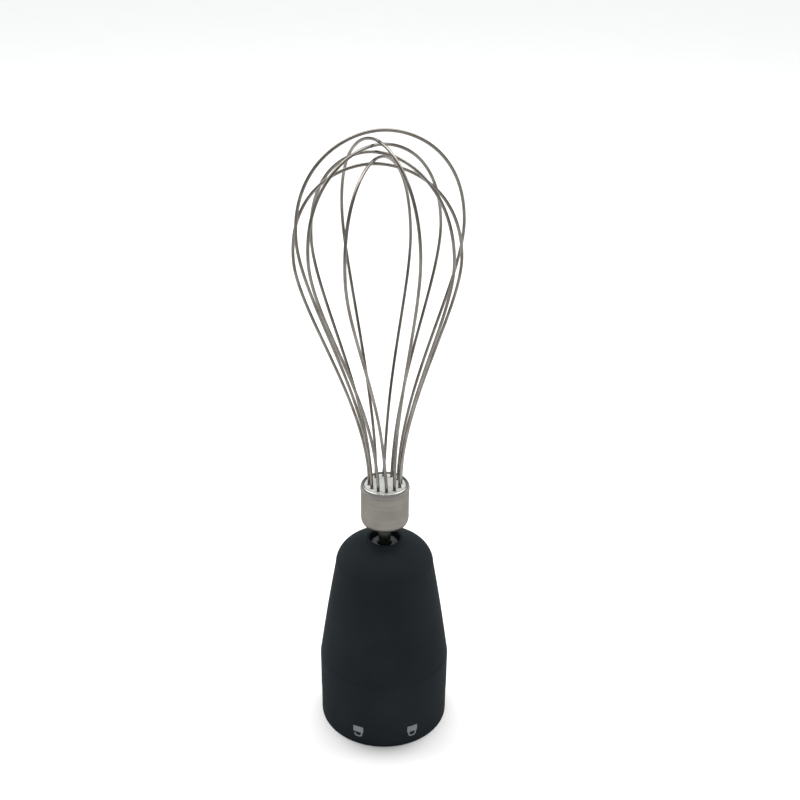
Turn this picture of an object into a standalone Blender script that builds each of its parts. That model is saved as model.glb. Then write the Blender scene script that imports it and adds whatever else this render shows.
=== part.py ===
"""Balloon whisk attachment of a stick blender, standing on the open mouth of its gearbox.

The gearbox axis is world Z and its mouth rim stands on z = 0. Sizes below are in millimetres.
"""

import math

import bpy
import bmesh

MM = 0.001
GAP = 0.3

# Outside of the gearbox
COLLAR_R = 27.3
COLLAR_CREASE_R = 27.45
COLLAR_STEP_Z = 12.5
COLLAR_TOP_Z = 32.0
CONE_FOOT_R = 27.15
CONE_TOP_R = 20.35
CONE_TOP_Z = 75.7
CONE_BULGE = 0.22
NOSE_TOP_Z = 87.5
NOSE_CENTRE_R = 3.05
NOSE_HOLE_R = 6.2
NOSE_LIP_R = 7.9
NOSE_LIP_TOP_Z = 88.2
NOSE_FLOOR_Z = 84.5
WALL = 2.3

# Motor socket
SOCKET_R = 24.6
LUG_COUNT = 3
LUG_DEPTH = 1.8
LUG_SPAN_DEG = 30.0
LUG_LOW_Z = 4.0
LUG_HIGH_Z = 8.0
FLANGE_R = 21.0
FLANGE_LOW_Z = 27.5
FLANGE_HIGH_Z = 29.7
SPIGOT_IN_R = 23.4
SPIGOT_OUT_R = 25.0
SPIGOT_TOP_Z = 35.0

# Cover plate and its screws
COVER_R = 23.1
COVER_LOW_Z = 30.0
COVER_THICK = 2.2
COVER_TUBE_IN_R = 5.3
COVER_TUBE_OUT_R = 7.4
COVER_TUBE_LOW_Z = 24.4
COVER_TUBE_HIGH_Z = 38.0
SCREW_COUNT = 3
SCREW_CIRCLE_R = 18.2
SCREW_SHANK_R = 1.1
SCREW_HEAD_R = 2.1
SCREW_LENGTH = 9.0
BOSS_R = 2.6
BOSS_TOP_Z = 47.5
BOSS_PHASE_DEG = 30.0
RIB_THICK = 1.8
RIB_LOW_Z = 38.5
RIB_REACH_R = 23.3

# Planetary reduction
GEAR_MODULE = 0.7
PRESSURE_DEG = 25.0
SUN_TEETH = 12
PLANET_TEETH = 18
RING_TEETH = SUN_TEETH + 2 * PLANET_TEETH
PLANET_COUNT = 3
FIRST_PLANET_DEG = 90.0
ADDENDUM = 0.8
DEDENDUM = 1.25
FLANK_SLACK = 0.07
GEAR_LOW_Z = 50.3
GEAR_HIGH_Z = 57.7
RING_R = 19.7
RING_SEAT_R = 20.0
PIN_R = 1.5
CARRIER_R = 14.4
CARRIER_LOW_Z = 60.2
CARRIER_THICK = 3.0
CARRIER_HUB_R = 7.6
CARRIER_HUB_TOP_Z = 68.6
CARRIER_BORE_R = 2.6
PIN_LOW_Z = 48.4
PLATE_LOW_Z = 48.6
PLATE_HIGH_Z = 49.8
PLATE_BORE_R = 5.4

# Turning output and the parts around it
SPINDLE_R = 5.7
SPINDLE_FOOT_R = 5.0
SPINDLE_BORE_R = 2.8
SPINDLE_FLAT = 4.1
SPINDLE_TOP_Z = 85.8
SPINDLE_FLOOR_Z = 66.0
DRIVE_FLAT = 1.9
BEARING_BORE_R = 8.3
BEARING_TUBE_R = 10.8
BEARING_LOW_Z = 71.5
BUSHING_R = 8.0
BUSHING_LOW_Z = 73.2
BUSHING_HIGH_Z = 81.4
SEAL_LOW_Z = 81.8
SEAL_HIGH_Z = 84.2
SEAL_WALL = 0.6
GROOVE_LOW_Z = 71.2
GROOVE_HIGH_Z = 72.6
GROOVE_DEPTH = 0.7
CIRCLIP_LOW_Z = 71.5
CIRCLIP_HIGH_Z = 72.3
CIRCLIP_IN_R = 5.3
CIRCLIP_OUT_R = 7.6
CIRCLIP_OPENING_DEG = 50.0
SNAP_THICK = 0.7
SNAP_OPENING_DEG = 70.0
SNAP_POCKET = 1.2

# Input side
INPUT_SHAFT_R = 2.0
INPUT_SHAFT_TOP_Z = 59.0
INPUT_BUSHING_R = 5.0
INPUT_BUSHING_LOW_Z = 25.9
INPUT_BUSHING_HIGH_Z = 37.6
DOG_R = 6.0
DOG_LOW_Z = 10.0
DOG_HIGH_Z = 23.2
DOG_SOCKET_R = 3.6
DOG_SOCKET_TOP_Z = 18.0

# Whisk
SHAFT_R = 2.5
SHAFT_LOW_Z = 67.0
SHAFT_TOP_Z = 111.0
SHAFT_FLAT_TOP_Z = 75.0
SNAP_Z = 80.0
FERRULE_R = 9.8
FERRULE_LOW_Z = 95.9
FERRULE_TOP_Z = 113.9
FERRULE_WALL = 0.7
HOLDER_TOP_Z = 113.2
HOLDER_LOW_Z = 106.5
HOLDER_R = 8.3
WIRE_R = 0.57
WIRE_HOLE_R = 0.9
WIRE_CIRCLE_R = 6.42
WIRE_TAIL_Z = 107.5
WIRE_EXIT_Z = 114.1
HOLE_PHASE_DEG = 5.5
HOLE_STEP_DEG = 30.0

# Each loop: hole number, plane azimuth, half width, height of the widest point, apex height, lean in X
WIRE_LOOPS = (
    (4, 109.3, 32.0, 219.5, 254.9, -2.5),
    (1, 29.9, 28.7, 218.2, 251.6, -4.0),
    (5, 135.7, 33.9, 215.1, 249.6, -4.7),
    (2, 64.6, 28.8, 211.6, 247.3, -3.2),
    (0, -21.8, 31.3, 210.0, 245.0, -3.7),
    (3, 96.0, 30.8, 208.8, 243.2, -4.7),
)

# Lock marks on the collar
MARK_LIFT = 0.12
MARK_THICK = 0.2
MARK_WIDTH = 4.6
MARK_BODY_HEIGHT = 3.0
MARK_ARC_HEIGHT = 2.45
MARK_ARC_WIDTH = 3.8
MARK_LINE = 0.65
MARK_TOP_Z = 9.4
OPEN_MARK_DEG = -23.2
CLOSED_MARK_DEG = 26.4

SHELL_STEPS = 40
MEDIUM_STEPS = 32
SMALL_STEPS = 22
TINY_STEPS = 14

BLACK_PLASTIC = ((0.0152, 0.0182, 0.0208), 0.48, 0.0)
GREY_PRINT = ((0.22, 0.25, 0.27), 0.6, 0.0)
GREY_POM = ((0.42, 0.42, 0.41), 0.45, 0.0)
WHITE_POM = ((0.62, 0.61, 0.58), 0.5, 0.0)
BRONZE = ((0.45, 0.30, 0.16), 0.45, 1.0)
STEEL = ((0.45, 0.45, 0.45), 0.3, 1.0)
SPRING_STEEL = ((0.2, 0.2, 0.21), 0.35, 1.0)
SATIN_STEEL = ((0.42, 0.40, 0.37), 0.34, 1.0)
WIRE_STEEL = ((0.40, 0.39, 0.37), 0.25, 1.0)
HOLDER_GREY = ((0.50, 0.50, 0.51), 0.4, 0.0)
RUBBER = ((0.02, 0.02, 0.02), 0.7, 0.0)


def clear_scene():
    for item in list(bpy.data.objects):
        bpy.data.objects.remove(item)


def new_collection(name, hidden=False):
    found = bpy.data.collections.new(name)
    found.hide_render = hidden
    bpy.context.scene.collection.children.link(found)
    return found


clear_scene()
PARTS = new_collection("whisk_attachment")
CUTTERS = new_collection("cutters", hidden=True)


def paint(obj, look):
    """Gives the object its own Principled material from a colour, a roughness and a metallic value."""
    colour, roughness, metallic = look
    material = bpy.data.materials.new(obj.name)
    material.use_nodes = True
    shader = material.node_tree.nodes["Principled BSDF"]
    shader.inputs["Base Color"].default_value = (*colour, 1.0)
    shader.inputs["Roughness"].default_value = roughness
    shader.inputs["Metallic"].default_value = metallic
    obj.data.materials.append(material)


def polar(radius, degrees):
    """A point on a circle, counted anticlockwise from +X."""
    angle = math.radians(degrees)
    return radius * math.cos(angle), radius * math.sin(angle)


def front(radius, degrees):
    """A point on a circle, counted from -Y towards +X."""
    angle = math.radians(degrees)
    return radius * math.sin(angle), -radius * math.cos(angle)


def arc(centre_r, centre_z, radius_r, radius_z, start_deg, end_deg, steps):
    points = []
    for i in range(steps + 1):
        angle = math.radians(start_deg + (end_deg - start_deg) * i / steps)
        points.append((centre_r + radius_r * math.cos(angle), centre_z + radius_z * math.sin(angle)))
    return points


def turned_mesh(name, profile, steps, closed, collection):
    """Turns a profile of (radius, height) points, given down its outer side, about Z."""
    mesh = bpy.data.meshes.new(name)
    verts = [(r * MM, 0.0, z * MM) for r, z in profile]
    edges = [(i, i + 1) for i in range(len(verts) - 1)]
    if closed:
        edges.append((len(verts) - 1, 0))
    mesh.from_pydata(verts, edges, [])
    obj = bpy.data.objects.new(name, mesh)
    collection.objects.link(obj)
    screw = obj.modifiers.new("turn", "SCREW")
    screw.axis = "Z"
    screw.steps = steps
    screw.render_steps = steps
    screw.use_merge_vertices = True
    screw.merge_threshold = 0.00001
    screw.use_smooth_shade = True
    return obj


def turned(name, profile, look, steps=SMALL_STEPS, closed=True):
    obj = turned_mesh(name, profile, steps, closed, PARTS)
    paint(obj, look)
    return obj


def cut(target, cutter, operation="DIFFERENCE"):
    step = target.modifiers.new(cutter.name, "BOOLEAN")
    step.operation = operation
    step.solver = "EXACT"
    step.object = cutter


def cutter_from(bm, name):
    mesh = bpy.data.meshes.new(name)
    bmesh.ops.recalc_face_normals(bm, faces=bm.faces)
    bm.to_mesh(mesh)
    bm.free()
    obj = bpy.data.objects.new(name, mesh)
    CUTTERS.objects.link(obj)
    obj.display_type = "WIRE"
    return obj


def rod_cutter(name, radius, low, high, x=0.0, y=0.0, sides=TINY_STEPS):
    bm = bmesh.new()
    bmesh.ops.create_cone(bm, cap_ends=True, segments=sides, radius1=radius * MM, radius2=radius * MM,
                          depth=(high - low) * MM)
    bmesh.ops.translate(bm, verts=bm.verts, vec=(x * MM, y * MM, (low + high) / 2 * MM))
    return cutter_from(bm, name)


def box_cutter(name, low, high, turn_deg=0.0):
    """A block between two corners, then turned about Z."""
    bm = bmesh.new()
    bmesh.ops.create_cube(bm, size=1.0)
    for vert in bm.verts:
        for k in range(3):
            middle = (low[k] + high[k]) / 2
            vert.co[k] = (middle + vert.co[k] * (high[k] - low[k])) * MM
    obj = cutter_from(bm, name)
    obj.rotation_euler.z = math.radians(turn_deg)
    return obj


def plate(name, outlines, low, high, look, collection=None):
    """A flat part: outlines filled with their holes and raised between two heights."""
    curve = bpy.data.curves.new(name, "CURVE")
    curve.dimensions = "2D"
    curve.fill_mode = "BOTH"
    curve.extrude = (high - low) / 2 * MM
    for outline in outlines:
        spline = curve.splines.new("POLY")
        spline.points.add(len(outline) - 1)
        for point, (x, y) in zip(spline.points, outline):
            point.co = (x * MM, y * MM, 0.0, 1.0)
        spline.use_cyclic_u = True
    obj = bpy.data.objects.new(name, curve)
    obj.location.z = (low + high) / 2 * MM
    (collection or PARTS).objects.link(obj)
    paint(obj, look)
    return obj


def circle(radius, sides=SMALL_STEPS, x=0.0, y=0.0):
    points = []
    for i in range(sides):
        px, py = polar(radius, 360.0 * i / sides)
        points.append((x + px, y + py))
    return points


def flatted_circle(radius, flat, sides=SMALL_STEPS):
    """A circle with two flats facing +Y and -Y."""
    return [(x, max(-flat, min(flat, y))) for x, y in circle(radius, sides)]


def clip_outline(inner, outer, opening_deg, middle_deg, steps=26):
    """A C shape with its opening centred on one direction."""
    start = middle_deg + opening_deg / 2
    sweep = 360.0 - opening_deg
    outside = [polar(outer, start + sweep * i / steps) for i in range(steps + 1)]
    inside = [polar(inner, start + sweep * i / steps) for i in range(steps + 1)]
    return outside + inside[::-1]


# Gearbox shells

def cone_radius(z):
    """Outer radius of the cone, which swells slightly between its ends."""
    t = (z - COLLAR_TOP_Z) / (CONE_TOP_Z - COLLAR_TOP_Z)
    return CONE_FOOT_R + (CONE_TOP_R - CONE_FOOT_R) * t + CONE_BULGE * math.sin(math.pi * t)


def make_housing():
    foot = COLLAR_TOP_Z + GAP
    nose = arc(NOSE_CENTRE_R, CONE_TOP_Z, CONE_TOP_R - NOSE_CENTRE_R, NOSE_TOP_Z - CONE_TOP_Z, 69, 0, 7)
    cone = [(cone_radius(z), z) for z in (64.0, 52.0, 41.0, foot + 0.5)]
    seat_top = GEAR_HIGH_Z + 0.9
    inside = [
        (SPIGOT_OUT_R + GAP, foot),
        (SPIGOT_OUT_R + GAP, SPIGOT_TOP_Z + GAP),
        (cone_radius(35.3) - WALL, SPIGOT_TOP_Z + GAP),
        (cone_radius(47.0) - WALL, 47.0),
        (RING_SEAT_R, 48.4),
        (RING_SEAT_R, seat_top),
        (RING_SEAT_R - 2.0, seat_top),
        (RING_SEAT_R - 2.3, 65.0),
        (RING_SEAT_R - 3.4, 72.5),
        (BEARING_TUBE_R + 2.4, 77.6),
        (BEARING_TUBE_R, 77.6),
        (BEARING_TUBE_R, BEARING_LOW_Z),
        (BEARING_BORE_R, BEARING_LOW_Z),
        (BEARING_BORE_R, NOSE_FLOOR_Z),
        (NOSE_HOLE_R, NOSE_FLOOR_Z),
        (NOSE_HOLE_R, NOSE_LIP_TOP_Z - 0.3),
        (NOSE_HOLE_R + 0.3, NOSE_LIP_TOP_Z),
        (NOSE_LIP_R - 0.6, NOSE_LIP_TOP_Z),
        (NOSE_LIP_R, NOSE_LIP_TOP_Z - 0.6),
    ]
    edge = [(cone_radius(foot) - 0.35, foot)]
    housing = turned("gearbox_housing", nose + cone + edge + inside, BLACK_PLASTIC, SHELL_STEPS)
    for i in range(SCREW_COUNT):
        turn = BOSS_PHASE_DEG + 360.0 * i / SCREW_COUNT
        x, y = polar(SCREW_CIRCLE_R, turn)
        rib_low = (SCREW_CIRCLE_R + 0.5, -RIB_THICK / 2, RIB_LOW_Z)
        rib_high = (RIB_REACH_R, RIB_THICK / 2, BOSS_TOP_Z)
        rib = box_cutter(f"boss_rib_{i + 1}", rib_low, rib_high, turn)
        boss = rod_cutter(f"boss_{i + 1}", BOSS_R, COVER_LOW_Z + COVER_THICK + GAP, BOSS_TOP_Z, x, y)
        hole = rod_cutter(f"boss_hole_{i + 1}", SCREW_SHANK_R + GAP, COVER_LOW_Z, BOSS_TOP_Z - 3.0, x, y)
        cut(housing, rib, "UNION")
        cut(housing, boss, "UNION")
        cut(housing, hole)
    return housing


def make_collar():
    outside = [
        (SPIGOT_OUT_R, SPIGOT_TOP_Z),
        (SPIGOT_OUT_R, COLLAR_TOP_Z),
        (COLLAR_CREASE_R - 0.5, COLLAR_TOP_Z),
        (COLLAR_CREASE_R, COLLAR_TOP_Z - 0.6),
        (COLLAR_CREASE_R, COLLAR_TOP_Z - 3.0),
        (COLLAR_R + 0.15, COLLAR_STEP_Z + 0.2),
        (COLLAR_R, COLLAR_STEP_Z),
        (COLLAR_R, 0.7),
        (COLLAR_R - 0.25, 0.15),
        (COLLAR_R - 0.6, 0.0),
    ]
    inside = [
        (SOCKET_R + 0.5, 0.0),
        (SOCKET_R, 0.6),
        (SOCKET_R, FLANGE_LOW_Z),
        (FLANGE_R, FLANGE_LOW_Z),
        (FLANGE_R, FLANGE_HIGH_Z),
        (SPIGOT_IN_R, FLANGE_HIGH_Z),
        (SPIGOT_IN_R, SPIGOT_TOP_Z),
    ]
    collar = turned("socket_collar", outside + inside, BLACK_PLASTIC, SHELL_STEPS)
    for i in range(LUG_COUNT):
        middle = 360.0 * i / LUG_COUNT + 90.0
        start = middle - LUG_SPAN_DEG / 2
        steps = 6
        inner = [polar(SOCKET_R - LUG_DEPTH, start + LUG_SPAN_DEG * k / steps) for k in range(steps + 1)]
        outer = [polar(SOCKET_R + 1.0, start + LUG_SPAN_DEG * k / steps) for k in range(steps + 1)]
        cut(collar, raised_cutter(f"lug_{i + 1}", inner + outer[::-1], LUG_LOW_Z, LUG_HIGH_Z), "UNION")
    return collar


def raised_cutter(name, outline, low, high):
    bm = bmesh.new()
    base = [bm.verts.new((x * MM, y * MM, low * MM)) for x, y in outline]
    face = bm.faces.new(base)
    side = bmesh.ops.extrude_face_region(bm, geom=[face])
    raised = [item for item in side["geom"] if isinstance(item, bmesh.types.BMVert)]
    bmesh.ops.translate(bm, verts=raised, vec=(0.0, 0.0, (high - low) * MM))
    return cutter_from(bm, name)


# Lock marks, drawn shackle down because the gearbox stands upside down

def shackle_arc(half, height, steps=8):
    return [(half * math.cos(math.pi * i / steps), -height * math.sin(math.pi * i / steps))
            for i in range(steps + 1)]


def mark_outlines(is_open):
    half = MARK_WIDTH / 2
    outer = MARK_ARC_WIDTH / 2
    inner = outer - MARK_LINE
    drop = 0.5
    big = [(x, y - drop) for x, y in shackle_arc(outer, MARK_ARC_HEIGHT - drop)]
    small = [(x, y - drop) for x, y in shackle_arc(inner, MARK_ARC_HEIGHT - drop - MARK_LINE)]
    top = [(half, 0.0), (half, MARK_BODY_HEIGHT), (-half, MARK_BODY_HEIGHT), (-half, 0.0)]
    if is_open:
        path = top + [(inner, 0.0)] + small[:-1] + [(-inner, -drop - 0.1), (-outer, -drop - 0.1)]
        return [path + big[:-1][::-1] + [(outer, 0.0)]]
    hole = [(inner, 0.0)] + small + [(-inner, 0.0)]
    return [top + [(-outer, 0.0)] + big[::-1] + [(outer, 0.0)], hole]


def make_mark(name, is_open, azimuth):
    """Fills the mark flat, then wraps it round the collar."""
    flat = plate(name + "_flat", mark_outlines(is_open), 0.0, MARK_THICK, GREY_PRINT, CUTTERS)
    bpy.context.view_layer.update()
    seen = flat.evaluated_get(bpy.context.evaluated_depsgraph_get())
    mesh = bpy.data.meshes.new_from_object(seen)
    mesh.name = name
    bm = bmesh.new()
    bm.from_mesh(mesh)
    bmesh.ops.remove_doubles(bm, verts=bm.verts, dist=0.000001)
    for vert in bm.verts:
        across, up, out = vert.co / MM
        radius = COLLAR_R + MARK_LIFT + out + MARK_THICK / 2
        x, y = front(radius, azimuth + math.degrees(across / COLLAR_R))
        vert.co = (x * MM, y * MM, (MARK_TOP_Z - MARK_BODY_HEIGHT + up) * MM)
    bmesh.ops.recalc_face_normals(bm, faces=bm.faces)
    bm.to_mesh(mesh)
    bm.free()
    bpy.data.objects.remove(flat)
    obj = bpy.data.objects.new(name, mesh)
    PARTS.objects.link(obj)
    mesh.materials.clear()
    paint(obj, GREY_PRINT)


# Cover plate, screws and bearings

def make_cover():
    low = COVER_LOW_Z
    high = COVER_LOW_Z + COVER_THICK
    profile = [
        (COVER_TUBE_OUT_R, COVER_TUBE_HIGH_Z),
        (COVER_TUBE_OUT_R, high),
        (COVER_R, high),
        (COVER_R, low),
        (COVER_TUBE_OUT_R, low),
        (COVER_TUBE_OUT_R, COVER_TUBE_LOW_Z),
        (COVER_TUBE_IN_R - 1.2, COVER_TUBE_LOW_Z),
        (COVER_TUBE_IN_R - 1.2, COVER_TUBE_LOW_Z + 1.2),
        (COVER_TUBE_IN_R, COVER_TUBE_LOW_Z + 1.2),
        (COVER_TUBE_IN_R, COVER_TUBE_HIGH_Z),
    ]
    cover = turned("gear_cover", profile, BLACK_PLASTIC, MEDIUM_STEPS)
    for i in range(SCREW_COUNT):
        x, y = polar(SCREW_CIRCLE_R, BOSS_PHASE_DEG + 360.0 * i / SCREW_COUNT)
        cut(cover, rod_cutter(f"cover_hole_{i + 1}", SCREW_SHANK_R + GAP, low - 1, high + 1, x, y))


def make_screws():
    head_low = COVER_LOW_Z - 2.0
    slot_depth = 0.9
    for i in range(SCREW_COUNT):
        x, y = polar(SCREW_CIRCLE_R, BOSS_PHASE_DEG + 360.0 * i / SCREW_COUNT)
        top = COVER_LOW_Z + SCREW_LENGTH
        profile = [
            (0.0, top),
            (SCREW_SHANK_R - 0.3, top),
            (SCREW_SHANK_R, top - 1.0),
            (SCREW_SHANK_R, COVER_LOW_Z - GAP),
            (SCREW_HEAD_R, COVER_LOW_Z - GAP),
            (SCREW_HEAD_R, head_low + 0.4),
            (SCREW_HEAD_R - 0.5, head_low),
            (0.0, head_low),
        ]
        screw = turned(f"cover_screw_{i + 1}", profile, STEEL, TINY_STEPS, closed=False)
        for k in range(2):
            low = (-1.2, -0.3, head_low - 1.0)
            high = (1.2, 0.3, head_low + slot_depth)
            cross = box_cutter(f"screw_slot_{i + 1}_{k + 1}", low, high, 90.0 * k)
            cross.location = (x * MM, y * MM, 0.0)
            cut(screw, cross)
        screw.location = (x * MM, y * MM, 0.0)


def make_bearings():
    shaft_clear = INPUT_SHAFT_R + GAP
    turned("input_bushing", [
        (INPUT_BUSHING_R, INPUT_BUSHING_HIGH_Z),
        (INPUT_BUSHING_R, INPUT_BUSHING_LOW_Z),
        (shaft_clear, INPUT_BUSHING_LOW_Z),
        (shaft_clear, INPUT_BUSHING_HIGH_Z),
    ], BRONZE)
    spindle_clear = SPINDLE_R + GAP
    turned("output_bushing", [
        (BUSHING_R, BUSHING_HIGH_Z),
        (BUSHING_R, BUSHING_LOW_Z),
        (spindle_clear, BUSHING_LOW_Z),
        (spindle_clear, BUSHING_HIGH_Z),
    ], BRONZE)
    turned("shaft_seal", [
        (BUSHING_R, SEAL_HIGH_Z),
        (BUSHING_R, SEAL_LOW_Z),
        (BUSHING_R - SEAL_WALL, SEAL_LOW_Z),
        (BUSHING_R - SEAL_WALL, SEAL_HIGH_Z - 0.8),
        (BUSHING_R - SEAL_WALL - 0.7, SEAL_HIGH_Z - 0.8),
        (spindle_clear + 0.2, SEAL_LOW_Z + 0.2),
        (spindle_clear, SEAL_LOW_Z + 0.4),
        (spindle_clear + 0.3, SEAL_HIGH_Z),
    ], RUBBER)


# Gears

def involute(angle):
    return math.tan(angle) - angle


def gear_outline(teeth, addendum, dedendum, slack, turn_deg):
    """Teeth with involute ends to each flank; slack widens each flank, in mm at the pitch circle."""
    pressure = math.radians(PRESSURE_DEG)
    pitch = GEAR_MODULE * teeth / 2
    base = pitch * math.cos(pressure)
    half = math.pi / (2 * teeth) + slack / pitch

    def flank(radius):
        local = math.acos(min(1.0, base / radius))
        return half + involute(pressure) - involute(local)

    root = pitch - dedendum * GEAR_MODULE
    tip = pitch + addendum * GEAR_MODULE
    points = []
    for i in range(teeth):
        middle = math.radians(turn_deg) + 2 * math.pi * i / teeth
        for radius, side in ((root, -1), (tip, -1), (tip, 1), (root, 1)):
            angle = middle + side * flank(radius)
            points.append((radius * math.cos(angle), radius * math.sin(angle)))
    return points


def mesh_phases():
    """Turn of each planet and of the ring so that every gear is in mesh with the sun at rest."""
    turns = []
    for i in range(PLANET_COUNT):
        place = FIRST_PLANET_DEG + 360.0 * i / PLANET_COUNT
        sun_phase = place / 360.0 * SUN_TEETH
        planet_phase = 0.5 - sun_phase
        turns.append(place + 180.0 - planet_phase * 360.0 / PLANET_TEETH)
    planet_at_ring = (FIRST_PLANET_DEG - turns[0]) / 360.0 * PLANET_TEETH
    ring_turn = FIRST_PLANET_DEG - (planet_at_ring + 0.5) * 360.0 / RING_TEETH
    return turns, ring_turn + 180.0 / RING_TEETH


def make_gears():
    turns, ring_turn = mesh_phases()
    distance = GEAR_MODULE * (SUN_TEETH + PLANET_TEETH) / 2
    sun = gear_outline(SUN_TEETH, ADDENDUM, DEDENDUM, -FLANK_SLACK, 0.0)
    plate("sun_gear", [sun, circle(INPUT_SHAFT_R + GAP, TINY_STEPS)], GEAR_LOW_Z, GEAR_HIGH_Z, STEEL)
    spaces = gear_outline(RING_TEETH, DEDENDUM, ADDENDUM, FLANK_SLACK, ring_turn)
    plate("ring_gear", [circle(RING_R, SHELL_STEPS), spaces], GEAR_LOW_Z - 1.0, GEAR_HIGH_Z + 0.4, WHITE_POM)
    for i, turn in enumerate(turns):
        x, y = polar(distance, FIRST_PLANET_DEG + 360.0 * i / PLANET_COUNT)
        outline = gear_outline(PLANET_TEETH, ADDENDUM, DEDENDUM, -FLANK_SLACK, turn)
        bore = circle(PIN_R + GAP, TINY_STEPS)
        gear = plate(f"planet_gear_{i + 1}", [outline, bore], GEAR_LOW_Z, GEAR_HIGH_Z, WHITE_POM)
        gear.location.x = x * MM
        gear.location.y = y * MM
        pin = turned(f"planet_pin_{i + 1}", [
            (0.0, CARRIER_LOW_Z + CARRIER_THICK),
            (PIN_R - 0.2, CARRIER_LOW_Z + CARRIER_THICK),
            (PIN_R, CARRIER_LOW_Z + CARRIER_THICK - 0.2),
            (PIN_R, PIN_LOW_Z + 0.2),
            (PIN_R - 0.2, PIN_LOW_Z),
            (0.0, PIN_LOW_Z),
        ], STEEL, TINY_STEPS, closed=False)
        pin.location = (x * MM, y * MM, 0.0)


def make_carrier():
    distance = GEAR_MODULE * (SUN_TEETH + PLANET_TEETH) / 2
    top = CARRIER_LOW_Z + CARRIER_THICK
    carrier = turned("planet_carrier", [
        (CARRIER_HUB_R, CARRIER_HUB_TOP_Z),
        (CARRIER_HUB_R, top),
        (CARRIER_R - 0.4, top),
        (CARRIER_R, top - 0.4),
        (CARRIER_R, CARRIER_LOW_Z),
        (CARRIER_BORE_R, CARRIER_LOW_Z),
        (CARRIER_BORE_R, CARRIER_HUB_TOP_Z),
    ], GREY_POM, MEDIUM_STEPS)
    socket = raised_cutter("carrier_socket", flatted_circle(SPINDLE_FOOT_R + GAP, SPINDLE_FLAT + GAP),
                           CARRIER_LOW_Z + 1.2, CARRIER_HUB_TOP_Z + 1.0)
    cut(carrier, socket)
    low_holes = []
    for i in range(PLANET_COUNT):
        x, y = polar(distance, FIRST_PLANET_DEG + 360.0 * i / PLANET_COUNT)
        cut(carrier, rod_cutter(f"pin_hole_{i + 1}", PIN_R + GAP, CARRIER_LOW_Z - 1, top + 1, x, y))
        low_holes.append(circle(PIN_R + GAP, TINY_STEPS, x, y))
    plate("carrier_plate", [circle(CARRIER_R), circle(PLATE_BORE_R)] + low_holes,
          PLATE_LOW_Z, PLATE_HIGH_Z, STEEL)
    inner = SPINDLE_R + GAP
    outer = BEARING_TUBE_R - 1.0
    low = CARRIER_HUB_TOP_Z + 0.6
    high = BEARING_LOW_Z - 0.5
    turned("thrust_washer", [(outer, high), (outer, low), (inner, low), (inner, high)], BRONZE)


# Turning output

def make_spindle():
    spindle = turned("output_spindle", [
        (SPINDLE_R - 0.5, SPINDLE_TOP_Z),
        (SPINDLE_R, SPINDLE_TOP_Z - 0.5),
        (SPINDLE_R, GROOVE_HIGH_Z),
        (SPINDLE_R - GROOVE_DEPTH, GROOVE_HIGH_Z),
        (SPINDLE_R - GROOVE_DEPTH, GROOVE_LOW_Z),
        (SPINDLE_R, GROOVE_LOW_Z),
        (SPINDLE_R, CARRIER_HUB_TOP_Z + GAP),
        (SPINDLE_FOOT_R, CARRIER_HUB_TOP_Z + GAP),
        (SPINDLE_FOOT_R, CARRIER_LOW_Z + 1.6),
        (0.0, CARRIER_LOW_Z + 1.6),
        (0.0, SPINDLE_FLOOR_Z),
        (SPINDLE_BORE_R, SPINDLE_FLOOR_Z),
        (SPINDLE_BORE_R, SNAP_Z - 0.5),
        (SPINDLE_BORE_R + SNAP_POCKET, SNAP_Z - 0.5),
        (SPINDLE_BORE_R + SNAP_POCKET, SNAP_Z + 1.2),
        (SPINDLE_BORE_R, SNAP_Z + 1.2),
        (SPINDLE_BORE_R, SPINDLE_TOP_Z - 0.4),
        (SPINDLE_BORE_R + 0.4, SPINDLE_TOP_Z),
    ], GREY_POM)
    for side in (-1, 1):
        near = SPINDLE_FLAT * side
        far = (SPINDLE_R + 2.0) * side
        low = (-8.0, min(near, far), CARRIER_LOW_Z)
        high = (8.0, max(near, far), CARRIER_HUB_TOP_Z + GAP)
        cut(spindle, box_cutter(f"spindle_flat_{side + 2}", low, high))
    for side in (-1, 1):
        near = (DRIVE_FLAT + GAP) * side
        far = (SPINDLE_BORE_R + 0.5) * side
        low = (-3.6, min(near, far), SPINDLE_FLOOR_Z - 0.2)
        high = (3.6, max(near, far), SHAFT_FLAT_TOP_Z)
        cut(spindle, box_cutter(f"drive_rib_{side + 2}", low, high), "UNION")
    plate("output_circlip", [clip_outline(CIRCLIP_IN_R, CIRCLIP_OUT_R, CIRCLIP_OPENING_DEG, 0.0)],
          CIRCLIP_LOW_Z, CIRCLIP_HIGH_Z, SPRING_STEEL)
    plate("snap_ring", [clip_outline(SHAFT_R + 0.2, SPINDLE_BORE_R + 0.9, SNAP_OPENING_DEG, 90.0, 20)],
          SNAP_Z, SNAP_Z + SNAP_THICK, SPRING_STEEL)


# Input side

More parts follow.
